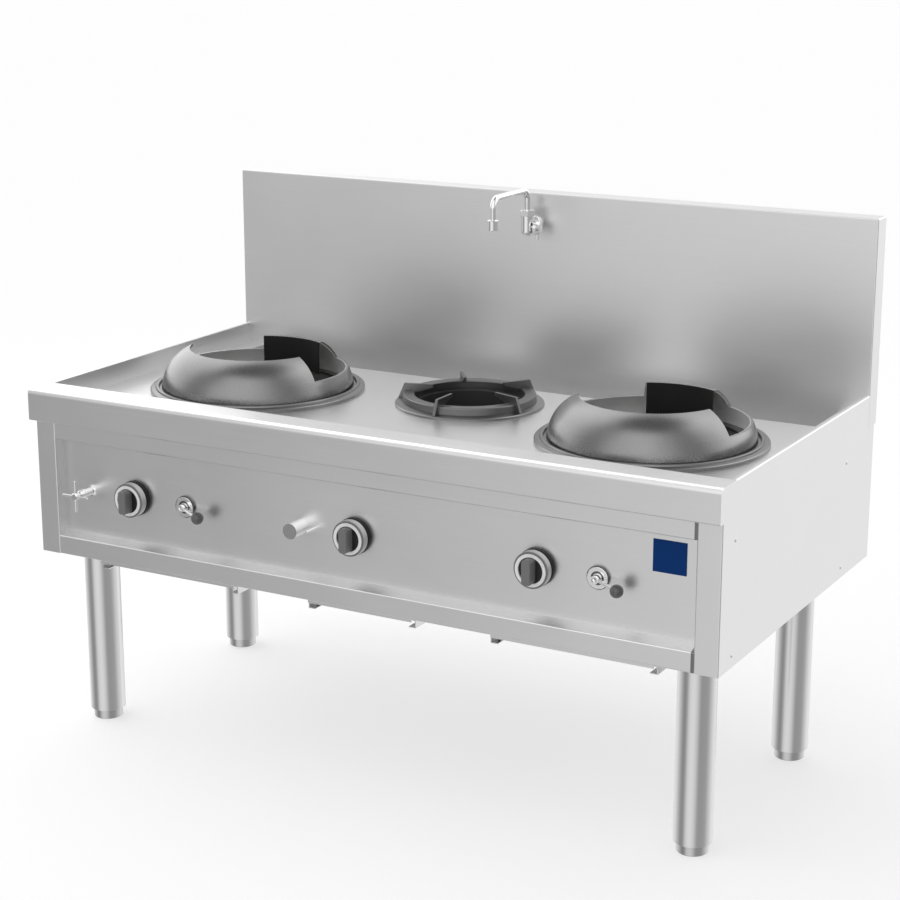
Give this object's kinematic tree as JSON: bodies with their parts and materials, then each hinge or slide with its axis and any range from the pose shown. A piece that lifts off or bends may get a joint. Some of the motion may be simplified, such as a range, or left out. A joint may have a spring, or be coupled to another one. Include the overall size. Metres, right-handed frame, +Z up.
{
  "type": "gas wok range",
  "caption": "Free-standing commercial gas wok range in folded stainless steel with wok rings and collars, a pan trivet, a splashback with a swing faucet, and drip trays.",
  "frame": {"origin": "floor level, under the middle of the overall box", "axes": "+X to the right along the front, +Y from the control panel towards the splashback, +Z up"},
  "size_m": [1.75, 0.971, 1.2795],
  "materials": {
    "stainless": "satin sheet",
    "stainless_bright": "satin tube and worktop",
    "well_steel": "dull, heat-stained",
    "cast_ring": "dark satin casting",
    "burner_iron": "rough casting",
    "guard_black": "matt black heat-proof coating",
    "chrome": "polished",
    "knob_black": "gloss black with a metal-look ring",
    "bezel_black": "matt black",
    "ball_grey": "dark grey gloss",
    "button_grey": "satin grey",
    "valve_brass": "machined",
    "pipe_steel": "galvanised grey",
    "foot_steel": "turned"
  },
  "bodies": {
    "frame": {"backsplash": "stainless", "side_panel_left": "stainless", "side_panel_right": "stainless", "back_panel": "stainless", "front_top_rail": "stainless", "front_bottom_rail": "stainless", "control_panel": "stainless", "bottom_frame": "stainless", "tray_runners": "stainless", "front_rail": "stainless", "deck_plate": "stainless_bright", "side_rail_left": "stainless_bright", "side_rail_right": "stainless_bright", "gutter_trough": "stainless_bright", "legs": "stainless_bright", "wok_well_left": "well_steel", "wok_well_right": "well_steel", "centre_well": "well_steel", "wok_base_ring_left": "cast_ring", "wok_base_ring_right": "cast_ring", "centre_base_ring": "cast_ring", "wok_burners": "burner_iron", "centre_burner": "burner_iron", "knob_bezels": "bezel_black", "gas_valves": "valve_brass", "lever_bases": "chrome", "tap_body": "chrome", "pilot_stem": "chrome", "faucet_body": "chrome", "faucet_nut": "chrome", "igniter_housing": "pipe_steel", "gas_piping": "pipe_steel", "water_pipe": "pipe_steel", "drain_pipe": "pipe_steel"},
    "wok_collar_left": {"wok_collar_left": "cast_ring", "flame_guard_left": "guard_black"},
    "wok_collar_right": {"wok_collar_right": "cast_ring", "flame_guard_right": "guard_black"},
    "trivet": {"centre_trivet": "cast_ring"},
    "strainer": {"gutter_strainer": "stainless_bright"},
    "knob_left": {"knob_left": "knob_black"},
    "knob_centre": {"knob_centre": "knob_black"},
    "knob_right": {"knob_right": "knob_black"},
    "lever_left": {"lever_arm_left": "chrome", "lever_ball_left": "ball_grey"},
    "lever_right": {"lever_arm_right": "chrome", "lever_ball_right": "ball_grey"},
    "tap_handle": {"tap_handle": "chrome"},
    "igniter_button": {"igniter_button": "button_grey"},
    "spout": {"faucet_spout": "chrome"},
    "faucet_knob": {"faucet_knob": "chrome"},
    "tray_left": {"drip_tray_left": "stainless"},
    "tray_centre": {"drip_tray_centre": "stainless"},
    "tray_right": {"drip_tray_right": "stainless"},
    "foot_front_left": {"foot_front_left": "foot_steel"},
    "foot_front_right": {"foot_front_right": "foot_steel"},
    "foot_back_left": {"foot_back_left": "foot_steel"},
    "foot_back_right": {"foot_back_right": "foot_steel"}
  },
  "joints": [
    {"name": "foot_front_left_screw", "type": "slide", "parent": "frame", "child": "foot_front_left", "axis": [0, 0, -1], "range_m": [0, 0.03]},
    {"name": "foot_front_right_screw", "type": "slide", "parent": "frame", "child": "foot_front_right", "axis": [0, 0, -1], "range_m": [0, 0.03]},
    {"name": "foot_back_left_screw", "type": "slide", "parent": "frame", "child": "foot_back_left", "axis": [0, 0, -1], "range_m": [0, 0.03]},
    {"name": "foot_back_right_screw", "type": "slide", "parent": "frame", "child": "foot_back_right", "axis": [0, 0, -1], "range_m": [0, 0.03]},
    {"name": "wok_collar_left_lift", "type": "slide", "parent": "frame", "child": "wok_collar_left", "axis": [0, 0, 1], "range_m": [0, 0.15]},
    {"name": "wok_collar_right_lift", "type": "slide", "parent": "frame", "child": "wok_collar_right", "axis": [0, 0, 1], "range_m": [0, 0.15]},
    {"name": "trivet_lift", "type": "slide", "parent": "frame", "child": "trivet", "axis": [0, 0, 1], "range_m": [0, 0.1]},
    {"name": "strainer_lift", "type": "slide", "parent": "frame", "child": "strainer", "axis": [0, 0, 1], "range_m": [0, 0.05]},
    {"name": "knob_left_turn", "type": "hinge", "parent": "frame", "child": "knob_left", "pos_m": [-0.6085, -0.4395, 0.6055], "axis": [0, -1, 0], "range_deg": [0, 210]},
    {"name": "knob_centre_turn", "type": "hinge", "parent": "frame", "child": "knob_centre", "pos_m": [-0.005, -0.4395, 0.6055], "axis": [0, -1, 0], "range_deg": [0, 210]},
    {"name": "knob_right_turn", "type": "hinge", "parent": "frame", "child": "knob_right", "pos_m": [0.4455, -0.4395, 0.6055], "axis": [0, -1, 0], "range_deg": [0, 210]},
    {"name": "lever_left_turn", "type": "hinge", "parent": "frame", "child": "lever_left", "pos_m": [-0.464, -0.4395, 0.6055], "axis": [0, 1, 0], "range_deg": [0, 85]},
    {"name": "lever_right_turn", "type": "hinge", "parent": "frame", "child": "lever_right", "pos_m": [0.589, -0.4395, 0.6055], "axis": [0, 1, 0], "range_deg": [0, 85]},
    {"name": "tap_turn", "type": "hinge", "parent": "frame", "child": "tap_handle", "pos_m": [-0.738, -0.4595, 0.6055], "axis": [0, -1, 0], "range_deg": [0, 540]},
    {"name": "igniter_press", "type": "slide", "parent": "frame", "child": "igniter_button", "axis": [0, 1, 0], "range_m": [0, 0.008], "stiffness_N_per_m": 800, "springref_m": -0.004},
    {"name": "spout_swing", "type": "hinge", "parent": "frame", "child": "spout", "pos_m": [0, 0.3875, 1.2], "axis": [0, 0, 1], "range_deg": [-80, 80]},
    {"name": "faucet_knob_turn", "type": "hinge", "parent": "frame", "child": "faucet_knob", "pos_m": [0.027, 0.3875, 1.18], "axis": [-1, 0, 0], "range_deg": [0, 90]},
    {"name": "tray_left_slide", "type": "slide", "parent": "frame", "child": "tray_left", "axis": [0, -1, 0], "range_m": [0, 0.45]},
    {"name": "tray_centre_slide", "type": "slide", "parent": "frame", "child": "tray_centre", "axis": [0, -1, 0], "range_m": [0, 0.45]},
    {"name": "tray_right_slide", "type": "slide", "parent": "frame", "child": "tray_right", "axis": [0, -1, 0], "range_m": [0, 0.45]}
  ]
}
